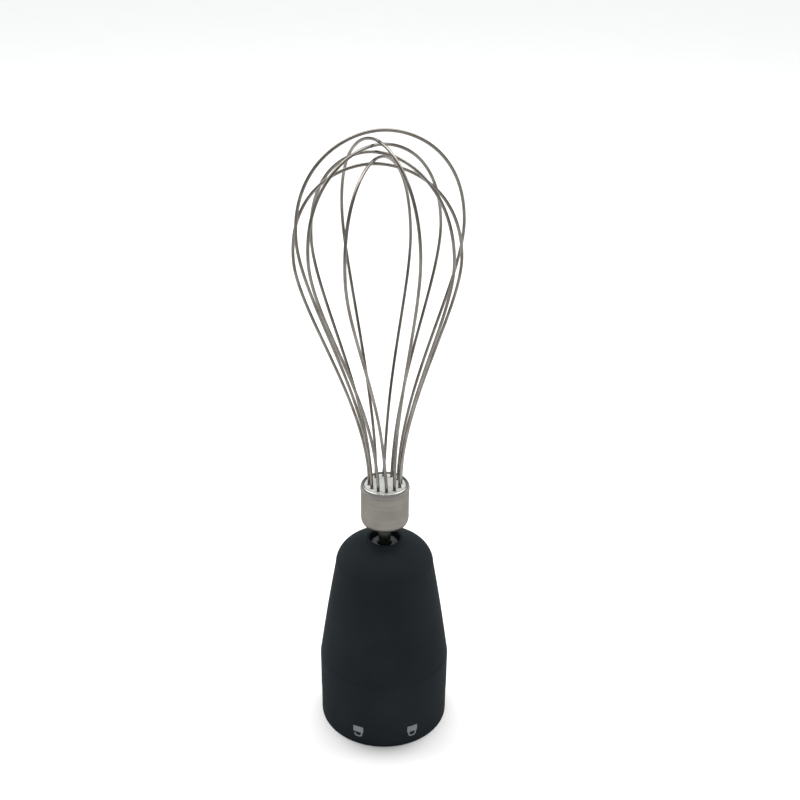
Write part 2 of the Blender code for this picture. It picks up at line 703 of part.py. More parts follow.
def make_input():
    turned("input_shaft", [
        (0.0, INPUT_SHAFT_TOP_Z),
        (INPUT_SHAFT_R - 0.4, INPUT_SHAFT_TOP_Z),
        (INPUT_SHAFT_R, INPUT_SHAFT_TOP_Z - 0.4),
        (INPUT_SHAFT_R, DOG_SOCKET_TOP_Z + 0.8),
        (0.0, DOG_SOCKET_TOP_Z + 0.8),
    ], STEEL, TINY_STEPS, closed=False)
    dog = turned("drive_coupling", [
        (DOG_R - 1.4, DOG_HIGH_Z),
        (DOG_R - 1.4, DOG_HIGH_Z - 2.0),
        (DOG_R, DOG_HIGH_Z - 3.2),
        (DOG_R, DOG_LOW_Z + 0.5),
        (DOG_R - 0.5, DOG_LOW_Z),
        (1.2, DOG_LOW_Z),
        (1.2, DOG_HIGH_Z),
    ], WHITE_POM)
    cut(dog, rod_cutter("dog_hex", DOG_SOCKET_R, DOG_LOW_Z - 1.0, DOG_SOCKET_TOP_Z, sides=6))
    cut(dog, rod_cutter("dog_bore", INPUT_SHAFT_R + GAP, DOG_SOCKET_TOP_Z + 0.5, DOG_HIGH_Z + 1.0))


# Whisk

def make_whisk_shaft():
    shaft = turned("whisk_shaft", [
        (0.0, SHAFT_TOP_Z),
        (SHAFT_R, SHAFT_TOP_Z),
        (SHAFT_R, SNAP_Z + 1.4),
        (SHAFT_R - 0.4, SNAP_Z + 1.0),
        (SHAFT_R - 0.4, SNAP_Z - 0.3),
        (SHAFT_R, SNAP_Z - 0.7),
        (SHAFT_R, SHAFT_LOW_Z + 1.0),
        (SHAFT_R - 1.0, SHAFT_LOW_Z),
        (0.0, SHAFT_LOW_Z),
    ], STEEL, SMALL_STEPS, closed=False)
    for side in (-1, 1):
        near = DRIVE_FLAT * side
        far = (SHAFT_R + 1.0) * side
        low = (-4.0, min(near, far), SHAFT_LOW_Z - 1.0)
        high = (4.0, max(near, far), SHAFT_FLAT_TOP_Z + 1.0)
        cut(shaft, box_cutter(f"shaft_flat_{side + 2}", low, high))


def make_ferrule():
    foot_rise = 2.6
    foot_run = 1.0
    lip = 1.0
    wall = FERRULE_WALL
    shoulder = arc(FERRULE_R - lip, FERRULE_TOP_Z - lip, lip, lip, 100, 0, 4)
    centre_r = FERRULE_R - foot_run
    centre_z = FERRULE_LOW_Z + foot_rise
    foot = arc(centre_r, centre_z, foot_run, foot_rise, 0, -88, 6)
    inner_foot = arc(centre_r, centre_z, foot_run - wall, foot_rise - wall, -86, 0, 3)
    inside_top = [
        (FERRULE_R - wall, FERRULE_TOP_Z - lip),
        (FERRULE_R - lip + 0.5, FERRULE_TOP_Z - 0.9),
        (FERRULE_R - lip - 0.2, FERRULE_TOP_Z - 0.6),
    ]
    hole = [
        (SHAFT_R + GAP, FERRULE_LOW_Z),
        (SHAFT_R + GAP, FERRULE_LOW_Z + wall),
    ]
    turned("whisk_ferrule", shoulder + foot + hole + inner_foot + inside_top, SATIN_STEEL, MEDIUM_STEPS)


def make_wire_holder():
    holder = turned("wire_holder", [
        (HOLDER_R - 0.5, HOLDER_TOP_Z),
        (HOLDER_R - 0.1, HOLDER_TOP_Z - 0.5),
        (HOLDER_R, HOLDER_LOW_Z),
        (SHAFT_R + GAP, HOLDER_LOW_Z),
        (SHAFT_R + GAP, SHAFT_TOP_Z + GAP),
        (0.0, SHAFT_TOP_Z + GAP),
        (0.0, HOLDER_TOP_Z),
    ], HOLDER_GREY, MEDIUM_STEPS)
    for i in range(2 * len(WIRE_LOOPS)):
        x, y = front(WIRE_CIRCLE_R, HOLE_PHASE_DEG + HOLE_STEP_DEG * i)
        hole = rod_cutter(f"wire_hole_{i + 1}", WIRE_HOLE_R, HOLDER_LOW_Z - 1, HOLDER_TOP_Z + 1, x, y, 8)
        cut(holder, hole)


def bezier(a, b, c, d, t):
    s = 1.0 - t
    shares = (s ** 3, 3 * s * s * t, 3 * s * t * t, t ** 3)
    return tuple(sum(share * value for share, value in zip(shares, values)) for values in zip(a, b, c, d))


def half_loop(radius, widest, apex):
    """Half profile of a loop as (radius, height): an S up to the widest point, then a round top."""
    reach = widest - WIRE_EXIT_Z
    low = (WIRE_CIRCLE_R, WIRE_EXIT_Z)
    leave = (WIRE_CIRCLE_R, WIRE_EXIT_Z + 0.379 * reach)
    swell = (radius, widest - 0.217 * reach)
    wide = (radius, widest)
    shoulder = (radius, widest + 0.711 * (apex - widest))
    crown = (0.428 * radius, apex)
    points = [bezier(low, leave, swell, wide, i / 13) for i in range(14)]
    points += [bezier(wide, shoulder, crown, (0.0, apex), i / 11) for i in range(1, 12)]
    return points


def loop_path(hole, plane, radius, widest, apex, lean):
    """Both halves of a loop: it leaves its two holes and turns into its own plane as it widens."""
    hole_deg = HOLE_PHASE_DEG + HOLE_STEP_DEG * hole
    half = half_loop(radius, widest, apex)
    sides = []
    for side in (1, -1):
        points = []
        for r, z in half:
            up = max(0.0, min(1.0, (z - WIRE_EXIT_Z) / (widest - WIRE_EXIT_Z))) ** 0.55
            ease = up * up * (3 - 2 * up)
            x, y = front(r * side, hole_deg + (plane - hole_deg) * ease)
            share = max(0.0, (z - WIRE_EXIT_Z) / (apex - WIRE_EXIT_Z))
            points.append((x + lean * share ** 1.5, y, z))
        x, y = front(WIRE_CIRCLE_R * side, hole_deg)
        sides.append([(x, y, WIRE_TAIL_Z)] + points)
    return sides[0] + sides[1][:-1][::-1]


def make_wires():
    for i, loop in enumerate(WIRE_LOOPS):
        path = loop_path(*loop)
        curve = bpy.data.curves.new(f"whisk_wire_{i + 1}", "CURVE")
        curve.dimensions = "3D"
        curve.bevel_depth = WIRE_R * MM
        curve.bevel_resolution = 1
        curve.use_fill_caps = True
        spline = curve.splines.new("POLY")
        spline.points.add(len(path) - 1)
        for point, (x, y, z) in zip(spline.points, path):
            point.co = (x * MM, y * MM, z * MM, 1.0)
        spline.use_smooth = True
        obj = bpy.data.objects.new(f"whisk_wire_{i + 1}", curve)
        PARTS.objects.link(obj)
        paint(obj, WIRE_STEEL)


make_housing()
make_collar()
make_mark("lock_mark_open", True, OPEN_MARK_DEG)
make_mark("lock_mark_closed", False, CLOSED_MARK_DEG)
make_cover()
make_screws()
make_bearings()
make_gears()
make_carrier()
make_spindle()
make_input()
make_whisk_shaft()
make_ferrule()
make_wire_holder()
make_wires()
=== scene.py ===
import math

import bmesh
import bpy
from mathutils import Matrix, Vector


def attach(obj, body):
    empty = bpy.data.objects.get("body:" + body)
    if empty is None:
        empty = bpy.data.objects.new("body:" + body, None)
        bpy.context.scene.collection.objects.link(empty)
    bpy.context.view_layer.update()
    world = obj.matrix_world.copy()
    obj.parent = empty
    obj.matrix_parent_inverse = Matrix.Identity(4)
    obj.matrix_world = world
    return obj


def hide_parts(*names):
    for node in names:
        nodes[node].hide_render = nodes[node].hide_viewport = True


# whisk attachment of a stick blender: black gearbox cone on its open mouth, balloon whisk on top
# axis of the gearbox is world Z, mouth rim on z = 0, sizes below in millimetres

mm = 0.001
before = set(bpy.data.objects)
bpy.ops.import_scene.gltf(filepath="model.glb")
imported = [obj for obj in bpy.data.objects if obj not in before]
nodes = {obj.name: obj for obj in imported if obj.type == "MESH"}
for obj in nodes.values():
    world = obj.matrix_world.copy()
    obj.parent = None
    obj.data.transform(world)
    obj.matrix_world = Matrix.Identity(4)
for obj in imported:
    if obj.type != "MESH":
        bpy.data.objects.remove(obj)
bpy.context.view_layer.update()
print("frame loaded,", len(nodes), "nodes")

for spare in [item for item in bpy.data.objects if item.type in {"CAMERA", "LIGHT"}]:
    bpy.data.objects.remove(spare)


# camera first

viewpoint = {
    "back": 385.1,
    "up": 341.5,
    "downDeg": 26.32,
    "rollDeg": 0.34,
    "lens": 50.0,
    "slide": 0.0181,
}


def setCamera(v):
    data = bpy.data.cameras.new("camera")
    data.lens = v["lens"]
    data.sensor_width = 36.0
    data.shift_x = v["slide"]
    data.clip_start = 0.01
    data.clip_end = 20.0
    camera = bpy.data.objects.new("camera", data)
    bpy.context.scene.collection.objects.link(camera)
    place = Matrix.Translation((0, -v["back"] * mm, v["up"] * mm))
    tilt = Matrix.Rotation(math.radians(90 - v["downDeg"]), 4, "X")
    roll = Matrix.Rotation(math.radians(v["rollDeg"]), 4, "Z")
    camera.matrix_world = place @ tilt @ roll
    bpy.context.scene.camera = camera


setCamera(viewpoint)
print("camera set")


# shader maths

class Signal:
    # a node's output that can be used in sums
    def __init__(self, board, socket):
        self.board = board
        self.socket = socket

    def math(self, operation, first, second):
        return self.board.node("Math", {"operation": operation}, {0: first, 1: second})

    def __add__(self, other):
        return self.math("ADD", self, other)

    def __radd__(self, other):
        return self.math("ADD", other, self)

    def __sub__(self, other):
        return self.math("SUBTRACT", self, other)

    def __rsub__(self, other):
        return self.math("SUBTRACT", other, self)

    def __mul__(self, other):
        return self.math("MULTIPLY", self, other)

    def __rmul__(self, other):
        return self.math("MULTIPLY", other, self)


class Board:
    # a node tree that new nodes are put on
    def __init__(self, owner):
        owner.use_nodes = True
        self.tree = owner.node_tree

    def feed(self, socket, value):
        if isinstance(value, Signal):
            self.tree.links.new(value.socket, socket)
        elif socket.type == "RGBA" and len(value) == 3:
            socket.default_value = (*value, 1.0)
        else:
            socket.default_value = value

    def node(self, kind, settings=None, sockets=None, out=0):
        made = self.tree.nodes.new("ShaderNode" + kind)
        for key, value in (settings or {}).items():
            setattr(made, key, value)
        for key, value in (sockets or {}).items():
            self.feed(made.inputs[key], value)
        return Signal(self, made.outputs[out])


class Finish(Board):
    # one material with its Principled shader
    def __init__(self, name):
        self.material = bpy.data.materials.new(name)
        super().__init__(self.material)
        self.shader = self.tree.nodes["Principled BSDF"]

    def give(self, **values):
        for key, value in values.items():
            name = "".join(" " + c if c.isupper() else c for c in key)
            self.feed(self.shader.inputs[name[0].upper() + name[1:]], value)
        return self.material

    def place(self):
        return self.node("TexCoord", out="Object")

    def stretched(self, x, y, z):
        return self.node("VectorMath", {"operation": "MULTIPLY"}, {0: self.place(), 1: (x, y, z)})

    def cloud(self, scale, detail=3.0, rough=0.55, where=None):
        sockets = {"Vector": where or self.place(), "Scale": scale, "Detail": detail, "Roughness": rough}
        return self.node("TexNoise", None, sockets)

    def cells(self, scale):
        return self.node("TexVoronoi", None, {"Vector": self.place(), "Scale": scale})

    def blend(self, factor, first, second):
        # sockets 6 and 7 are the Mix node's colours
        return self.node("Mix", {"data_type": "RGBA"}, {"Factor": factor, 6: first, 7: second}, 2)

    def mask(self, value, low, high):
        sockets = {"Value": value, "From Min": low, "From Max": high}
        return self.node("MapRange", {"interpolation_type": "SMOOTHSTEP"}, sockets)

    def height(self):
        return self.node("SeparateXYZ", None, {0: self.place()}, 2)

    def bump(self, value, depth, strength=1.0, under=None):
        sockets = {"Height": value, "Distance": depth * mm, "Strength": strength}
        if under:
            sockets["Normal"] = under
        return self.node("Bump", None, sockets)


# finishes

blackLook = {
    "dark": (0.0134, 0.0164, 0.0187),
    "light": (0.0174, 0.0212, 0.0241),
    "scuff": (0.019, 0.021, 0.022),
    "roughness": 0.66,
    "grainSize": 0.32,
    "grainDepth": 0.012,
    "specular": 0.015,
}


def blackMoulding(name, look, scuffs=True):
    f = Finish(name)
    grain = f.cloud(1 / (look["grainSize"] * mm), 2.0, 0.6)
    pores = f.cells(1.6 / (look["grainSize"] * mm))
    drift = f.cloud(38.0, 2.0, 0.5)
    tone = f.blend(f.mask(drift * 0.75 + grain * 0.25, 0.32, 0.68), look["dark"], look["light"])
    rough = look["roughness"] + (drift - 0.5) * 0.10 + (grain - 0.5) * 0.10
    if scuffs:
        rubbed = f.mask(f.cloud(520.0, 4.0, 0.7, f.stretched(1, 1, 0.35)), 0.66, 0.74)
        low = f.mask(f.height(), 0.0016, 0.0)
        tone = f.blend(rubbed * low * 0.7, tone, look["scuff"])
        rough = rough - rubbed * low * 0.08
    skin = f.bump(grain + pores * 0.6, look["grainDepth"], 0.9)
    wave = f.bump(f.cloud(60.0, 1.0, 0.4), 0.05, 0.35, skin)
    f.feed(f.shader.inputs["Specular IOR Level"], look["specular"])
    return f.give(baseColor=tone, roughness=rough, normal=wave)


satinLook = {
    "warm": (0.178, 0.168, 0.150),
    "cool": (0.220, 0.211, 0.193),
    "edge": (0.60, 0.60, 0.58),
    # lighter lip colour: a painted highlight on the rolled rim
    "polished": (0.31, 0.305, 0.29),
    "roughness": 0.36,
    "lineSize": 0.16,
    "lineDepth": 0.004,
    "lipFromZ": 112.6,
}


def satinSteel(name, look):
    # lathe-turned cup: hair lines run round it
    f = Finish(name)
    lines = f.cloud(1.0, 3.0, 0.65, f.stretched(70, 70, 1 / (look["lineSize"] * mm)))
    broad = f.cloud(1.0, 2.0, 0.5, f.stretched(40, 40, 700))
    cloudy = f.cloud(130.0, 3.0, 0.5)
    tone = f.blend(f.mask(cloudy * 0.5 + lines * 0.3 + broad * 0.2, 0.36, 0.64), look["warm"], look["cool"])
    rough = look["roughness"] + (lines - 0.5) * 0.22 + (cloudy - 0.5) * 0.08
    # lip from lipFromZ up: real polish in the lower roughness, and a lighter colour that paints a brighter
    # highlight on the rolled rim
    lip = f.mask(f.height(), look["lipFromZ"] * mm, (look["lipFromZ"] + 0.3) * mm)
    tone = f.blend(lip, tone, look["polished"])
    rough = rough - lip * 0.14
    skin = f.bump((lines + broad * 0.6) * (1.0 - lip * 0.7), look["lineDepth"], 0.8)
    return f.give(baseColor=tone, metallic=1.0, roughness=rough, specularTint=look["edge"], normal=skin)


wireLook = {
    "warm": (0.140, 0.125, 0.109),
    "cool": (0.218, 0.207, 0.190),
    "roughness": 0.22,
    "drawnDepth": 0.006,
}


def drawnWire(name, look, turn):
    f = Finish(name)
    streak = f.cloud(1.0, 3.0, 0.6, f.stretched(2600, 2600, 150 + turn))
    patch = f.cloud(75.0 + turn, 3.0, 0.6)
    tone = f.blend(f.mask(patch, 0.35, 0.66), look["warm"], look["cool"])
    rough = look["roughness"] + (patch - 0.5) * 0.18 + (streak - 0.5) * 0.12
    skin = f.bump(streak, look["drawnDepth"], 0.7)
    return f.give(baseColor=tone, metallic=1.0, roughness=rough, normal=skin)


plainLooks = {
    "holderGrey": {"low": (0.404, 0.416, 0.402), "high": (0.516, 0.532, 0.515), "rough": 0.42, "metal": 0.0,
                   "size": 0.5, "depth": 0.006},
    "spindleGrey": {"low": (0.042, 0.048, 0.054), "high": (0.070, 0.078, 0.086), "rough": 0.42, "metal": 0.0,
                    "size": 0.4, "depth": 0.006},
    "gearWhite": {"low": (0.55, 0.53, 0.47), "high": (0.68, 0.66, 0.61), "rough": 0.38, "metal": 0.0,
                  "size": 0.6, "depth": 0.004},
    "couplingWhite": {"low": (0.50, 0.50, 0.48), "high": (0.62, 0.62, 0.60), "rough": 0.45, "metal": 0.0,
                      "size": 0.4, "depth": 0.008},
    "carrierGrey": {"low": (0.24, 0.24, 0.24), "high": (0.34, 0.34, 0.33), "rough": 0.45, "metal": 0.0,
                    "size": 0.5, "depth": 0.006},
    "bronze": {"low": (0.36, 0.22, 0.10), "high": (0.55, 0.37, 0.19), "rough": 0.42, "metal": 1.0,
               "size": 0.25, "depth": 0.01},
    "turnedSteel": {"low": (0.36, 0.36, 0.36), "high": (0.52, 0.52, 0.53), "rough": 0.26, "metal": 1.0,
                    "size": 0.3, "depth": 0.004},
    "darkSteel": {"low": (0.055, 0.060, 0.050), "high": (0.100, 0.108, 0.094), "rough": 0.40, "metal": 1.0,
                  "size": 0.3, "depth": 0.004},
    "springSteel": {"low": (0.10, 0.10, 0.12), "high": (0.22, 0.21, 0.21), "rough": 0.36, "metal": 1.0,
                    "size": 0.4, "depth": 0.005},
    "zincScrew": {"low": (0.40, 0.41, 0.42), "high": (0.62, 0.62, 0.60), "rough": 0.3, "metal": 1.0,
                  "size": 0.35, "depth": 0.006},
    "sealRubber": {"low": (0.010, 0.010, 0.011), "high": (0.022, 0.022, 0.023), "rough": 0.68, "metal": 0.0,
                   "size": 0.3, "depth": 0.012},
    "printGrey": {"low": (0.135, 0.155, 0.168), "high": (0.215, 0.24, 0.256), "rough": 0.58, "metal": 0.0,
                  "size": 0.35, "depth": 0.006},
}


def plainFinish(name, look):
    # two tones in soft patches, fine grain in roughness and relief
    f = Finish(name)
    grain = f.cloud(1 / (look["size"] * mm), 3.0, 0.6)
    patch = f.cloud(170.0, 3.0, 0.55)
    tone = f.blend(f.mask(patch * 0.6 + grain * 0.4, 0.36, 0.64), look["low"], look["high"])
    rough = look["rough"] + (grain - 0.5) * 0.16 + (patch - 0.5) * 0.10
    skin = f.bump(grain, look["depth"], 0.8)
    return f.give(baseColor=tone, metallic=look["metal"], roughness=rough, normal=skin)


finishes = {name: plainFinish(name, look) for name, look in plainLooks.items()}
finishes["blackHousing"] = blackMoulding("blackHousing", blackLook)
finishes["blackInside"] = blackMoulding("blackInside", blackLook, scuffs=False)
finishes["satinSteel"] = satinSteel("satinSteel", satinLook)
print("finishes made:", len(finishes))


# shape helpers

def rounded(corners, steps=4):
    # corners are (radius, height) or (radius, height, fillet); each fillet becomes a short curve
    points = []
    count = len(corners)
    for i, corner in enumerate(corners):
        here = Vector(corner[:2])
        size = corner[2] if len(corner) > 2 else 0.0
        if size <= 0:
            points.append(here)
            continue
        before = Vector(corners[i - 1][:2]) - here
        after = Vector(corners[(i + 1) % count][:2]) - here
        start = here + before.normalized() * min(size, before.length * 0.49)
        end = here + after.normalized() * min(size, after.length * 0.49)
        for k in range(steps + 1):
            t = k / steps
            points.append(start * (1 - t) ** 2 + here * 2 * t * (1 - t) + end * t * t)
    return [(p.x, p.y) for p in points]


def sweepArc(centre, radii, startDeg, endDeg, steps):
    points = []
    for i in range(steps + 1):
        angle = math.radians(startDeg + (endDeg - startDeg) * i / steps)
        points.append((centre[0] + radii[0] * math.cos(angle), centre[1] + radii[1] * math.sin(angle)))
    return points


def objectFrom(bm, name, material, sharpDeg=32.0):
    bmesh.ops.remove_doubles(bm, verts=bm.verts, dist=0.0000005)
    bmesh.ops.recalc_face_normals(bm, faces=bm.faces)
    for face in bm.faces:
        face.smooth = True
    mesh = bpy.data.meshes.new(name)
    bm.to_mesh(mesh)
    bm.free()
    mesh.set_sharp_from_angle(angle=math.radians(sharpDeg))
    if material:
        mesh.materials.append(material)
    made = bpy.data.objects.new(name, mesh)
    bpy.context.scene.collection.objects.link(made)
    return made


def turnedInto(bm, profile, steps, closed=True):
    # revolves a (radius, height) profile in millimetres about Z
    rings = []
    for radius, height in profile:
        if radius < 0.0001:
            rings.append([bm.verts.new((0, 0, height * mm))])
            continue
        ring = []
        for i in range(steps):
            angle = 2 * math.pi * i / steps
            x = radius * math.cos(angle)
            y = radius * math.sin(angle)
            ring.append(bm.verts.new((x * mm, y * mm, height * mm)))
        rings.append(ring)
    pairs = list(zip(rings, rings[1:]))
    if closed:
        pairs.append((rings[-1], rings[0]))
    for upper, lower in pairs:
        for i in range(steps):
            k = (i + 1) % steps
            if len(upper) == 1 and len(lower) == 1:
                break
            if len(upper) == 1:
                bm.faces.new((upper[0], lower[k], lower[i]))
            elif len(lower) == 1:
                bm.faces.new((upper[i], upper[k], lower[0]))
            else:
                bm.faces.new((upper[i], upper[k], lower[k], lower[i]))


def turned(name, profile, material, steps=96, closed=True, sharpDeg=32.0):
    bm = bmesh.new()
    turnedInto(bm, profile, steps, closed)
    return objectFrom(bm, name, material, sharpDeg)


def raised(name, outline, low, high, material=None):
    # an outline in millimetres drawn up between two heights
    bm = bmesh.new()
    base = [bm.verts.new((x * mm, y * mm, low * mm)) for x, y in outline]
    face = bm.faces.new(base)
    grown = bmesh.ops.extrude_face_region(bm, geom=[face])
    lifted = [item for item in grown["geom"] if isinstance(item, bmesh.types.BMVert)]
    bmesh.ops.translate(bm, verts=lifted, vec=(0, 0, (high - low) * mm))
    return objectFrom(bm, name, material)


def ringPoints(radius, sides, x=0.0, y=0.0, startDeg=0.0):
    points = []
    for i in range(sides):
        angle = math.radians(startDeg + 360.0 * i / sides)
        points.append((x + radius * math.cos(angle), y + radius * math.sin(angle)))
    return points


def blockPoints(x0, x1, y0, y1, turnDeg=0.0):
    turn = Matrix.Rotation(math.radians(turnDeg), 2)
    corners = [Vector((x0, y0)), Vector((x1, y0)), Vector((x1, y1)), Vector((x0, y1))]
    return [tuple(turn @ corner) for corner in corners]


def sectorPoints(inner, outer, middleDeg, spanDeg, steps=12):
    near = []
    far = []
    for i in range(steps + 1):
        angle = math.radians(middleDeg - spanDeg / 2 + spanDeg * i / steps)
        near.append((inner * math.cos(angle), inner * math.sin(angle)))
        far.append((outer * math.cos(angle), outer * math.sin(angle)))
    return near + far[::-1]


def shaped(piece, unions=(), cuts=(), sharpDeg=32.0):
    # joins and cuts with other shapes, then keeps only the finished mesh
    for tool, operation in [(tool, "UNION") for tool in unions] + [(tool, "DIFFERENCE") for tool in cuts]:
        step = piece.modifiers.new(tool.name, "BOOLEAN")
        step.operation = operation
        step.solver = "EXACT"
        step.object = tool
    bpy.context.view_layer.update()
    seen = piece.evaluated_get(bpy.context.evaluated_depsgraph_get())
    mesh = bpy.data.meshes.new_from_object(seen)
    piece.modifiers.clear()
    piece.data = mesh
    for tool in [*unions, *cuts]:
        bpy.data.objects.remove(tool)
    mesh.set_sharp_from_angle(angle=math.radians(sharpDeg))
    return piece


def sideBlocks(name, halfLong, near, far, low, high):
    # two blocks facing each other across the axis
    blocks = []
    for side in (-1, 1):
        outline = blockPoints(-halfLong, halfLong, *sorted((near * side, far * side)))
        blocks.append(raised(f"{name}{side}", outline, low, high))
    return blocks


def soften(piece, width, segments, fromDeg):
    edge = piece.modifiers.new("edge", "BEVEL")
    edge.width = width * mm
    edge.segments = segments
    edge.limit_method = "ANGLE"
    edge.angle_limit = math.radians(fromDeg)
    return piece


def polar(radius, degrees):
    angle = math.radians(degrees)
    return radius * math.cos(angle), radius * math.sin(angle)


def front(radius, degrees):
    # counted from -Y towards +X
    angle = math.radians(degrees)
    return radius * math.sin(angle), -radius * math.cos(angle)


def settle(piece, body, slotName, *standsFor):
    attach(piece, body)
    if standsFor:
        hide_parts(*standsFor)
    return piece


# gearbox housing

housing = {
    "footZ": 32.03,
    "footR": 27.2,
    "topR": 20.35,
    "topZ": 75.7,
    "bulge": 0.22,
    "coneFromZ": 32.0,
    "coneLastZ": 33.2,
    "coneSteps": 14,
    "noseTopZ": 87.5,
    "noseCentreR": 3.05,
    "holeR": 6.2,
    "lipR": 7.9,
    "lipTopZ": 88.2,
    "wall": 2.3,
    "spigotR": 25.3,
    "spigotTopZ": 35.3,
    "shoulderZ": 47.0,
    "gearSeatR": 20.0,
    "gearSeatLowZ": 48.4,
    "gearSeatTopZ": 58.6,
    "throat": ((17.7, 65.0, 1.0), (16.6, 72.5, 2.0)),
    "tubeR": 10.8,
    "tubeLowZ": 71.5,
    "tubeRootR": 13.2,
    "tubeRootZ": 77.6,
    "bearingR": 8.3,
    "noseFloorZ": 84.5,
    "bossCircleR": 18.2,
    "bossR": 2.6,
    "bossLowZ": 32.5,
    "bossTopZ": 47.6,
    "bossBoreR": 1.4,
    "bossBoreTopZ": 44.5,
    "bossStartDeg": 30.0,
    "ribInR": 18.7,
    "ribOutR": 23.3,
    "ribThick": 1.8,
    "ribLowZ": 38.5,
    "ribTopZ": 47.5,
}


def coneRadius(z, h=housing):
    t = (z - h["coneFromZ"]) / (h["topZ"] - h["coneFromZ"])
    return h["footR"] + (h["topR"] - h["footR"]) * t + h["bulge"] * math.sin(math.pi * t)


def makeHousing(h):
    nose = sweepArc((h["noseCentreR"], h["topZ"]),
                    (h["topR"] - h["noseCentreR"], h["noseTopZ"] - h["topZ"]), 69, 0, 22)
    cone = []
    for i in range(1, h["coneSteps"] + 1):
        z = h["topZ"] - (h["topZ"] - h["coneLastZ"]) * i / h["coneSteps"]
        cone.append((coneRadius(z), z))
    edge = [(coneRadius(h["footZ"] + 0.04), h["footZ"] + 0.04), (coneRadius(h["footZ"]) - 0.04, h["footZ"])]
    inside = rounded([
        (h["spigotR"], h["footZ"]),
        (h["spigotR"], h["spigotTopZ"]),
        (coneRadius(h["spigotTopZ"]) - h["wall"], h["spigotTopZ"], 0.5),
        (coneRadius(h["shoulderZ"]) - h["wall"], h["shoulderZ"], 0.8),
        (h["gearSeatR"], h["gearSeatLowZ"], 0.4),
        (h["gearSeatR"], h["gearSeatTopZ"]),
        (h["gearSeatR"] - 2.0, h["gearSeatTopZ"], 0.3),
        *h["throat"],
        (h["tubeRootR"], h["tubeRootZ"], 1.0),
        (h["tubeR"], h["tubeRootZ"], 0.5),
        (h["tubeR"], h["tubeLowZ"], 0.3),
        (h["bearingR"], h["tubeLowZ"], 0.3),
        (h["bearingR"], h["noseFloorZ"]),
        (h["holeR"], h["noseFloorZ"], 0.2),
    ], 4)
    lip = sweepArc((h["holeR"] + 0.4, h["lipTopZ"] - 0.4), (0.4, 0.4), 180, 90, 6)
    lip += sweepArc((h["lipR"] - 0.6, h["lipTopZ"] - 0.6), (0.6, 0.6), 90, 20, 8)
    lip += [(h["lipR"] + 0.15, h["lipTopZ"] - 0.95), (h["lipR"] + 0.5, h["lipTopZ"] - 1.2)]
    made = turned("gearboxHousing", nose + cone + edge + inside + lip, finishes["blackHousing"], 160)
    posts = []
    bores = []
    for i in range(3):
        turn = h["bossStartDeg"] + 120 * i
        x, y = polar(h["bossCircleR"], turn)
        web = blockPoints(h["ribInR"], h["ribOutR"], -h["ribThick"] / 2, h["ribThick"] / 2, turn)
        posts.append(raised(f"rib{i}", web, h["ribLowZ"], h["ribTopZ"]))
        posts.append(raised(f"boss{i}", ringPoints(h["bossR"], 32, x, y), h["bossLowZ"], h["bossTopZ"]))
        drilled = ringPoints(h["bossBoreR"], 24, x, y)
        bores.append(raised(f"bore{i}", drilled, h["bossLowZ"] - 2.5, h["bossBoreTopZ"]))
    return shaped(made, posts, bores)


settle(makeHousing(housing), "gearbox", "black_plastic", "gearbox_housing")
print("housing turned")


# collar with the motor mouth

collar = {
    "radius": 27.3,
    "creaseR": 27.45,
    "stepZ": 12.5,
    "topZ": 32.0,
    "socketR": 24.6,
    "spigotR": 25.0,
    "spigotInR": 23.4,
    "spigotTopZ": 35.0,
    "flangeR": 21.0,
    "flangeLow": 27.5,
    "flangeHigh": 29.7,
    "lugIn": 22.8,
    "lugLow": 4.0,
    "lugHigh": 8.0,
    "lugSpanDeg": 30.0,
    "lugStartDeg": 90,
    "guideFromLugDeg": 42,
    "guideSpanDeg": 2.2,
    "guideLow": 2.2,
    "guideHigh": 24.0,
}


def makeCollar(c):
    profile = rounded([
        (c["spigotR"], c["spigotTopZ"], 0.3),
        (c["spigotR"], c["topZ"]),
        (c["creaseR"] - 0.25, c["topZ"], 0.04),
        (c["creaseR"], c["topZ"] - 1.2, 0.9),
        (c["creaseR"], c["topZ"] - 4.0, 2.0),
        (c["radius"] + 0.12, c["stepZ"] + 0.6, 0.5),
        (c["radius"], c["stepZ"] - 0.5, 0.5),
        (c["radius"], 0.0, 0.35),
        (c["socketR"], 0.0, 0.7),
        (c["socketR"], c["flangeLow"], 0.3),
        (c["flangeR"], c["flangeLow"], 0.3),
        (c["flangeR"], c["flangeHigh"], 0.3),
        (c["spigotInR"], c["flangeHigh"]),
        (c["spigotInR"], c["spigotTopZ"], 0.3),
    ], 5)
    made = turned("socketCollar", profile, finishes["blackHousing"], 160)
    lugs = []
    for i in range(3):
        middle = c["lugStartDeg"] + 120 * i
        points = sectorPoints(c["lugIn"], c["socketR"] + 0.8, middle, c["lugSpanDeg"])
        lug = raised(f"lug{i}", points, c["lugLow"], c["lugHigh"])
        soften(lug, 0.35, 3, 40)
        lugs.append(lug)
        for side in (-1, 1):
            turn = middle + side * c["guideFromLugDeg"]
            guide = sectorPoints(c["lugIn"] + 0.7, c["socketR"] + 0.8, turn, c["guideSpanDeg"], 3)
            lugs.append(raised(f"guide{i}{side}", guide, c["guideLow"], c["guideHigh"]))
    return shaped(made, lugs)


settle(makeCollar(collar), "gearbox", "black_plastic", "socket_collar")
print("collar turned")


# lock marks, shackle down because the gearbox stands on its mouth

lockMarks = {
    "width": 4.6,
    "body": 3.0,
    "shackle": 2.45,
    "shackleWidth": 3.8,
    "line": 0.65,
    "drop": 0.5,
    "corner": 0.35,
    "topZ": 9.4,
    "lift": 0.01,
    "ink": 0.05,
    "bendCuts": 6,
    "bendStep": 0.38,
    "openDeg": -23.2,
    "closedDeg": 26.4,
}


def shackleArc(half, height, drop, steps=18):
    # a round bow drawn a little squarer than a half circle
    points = []
    for i in range(steps + 1):
        across = math.cos(math.pi * i / steps)
        down = math.sin(math.pi * i / steps)
        points.append((half * math.copysign(abs(across) ** 0.75, across), -drop - height * down ** 0.75))
    return points


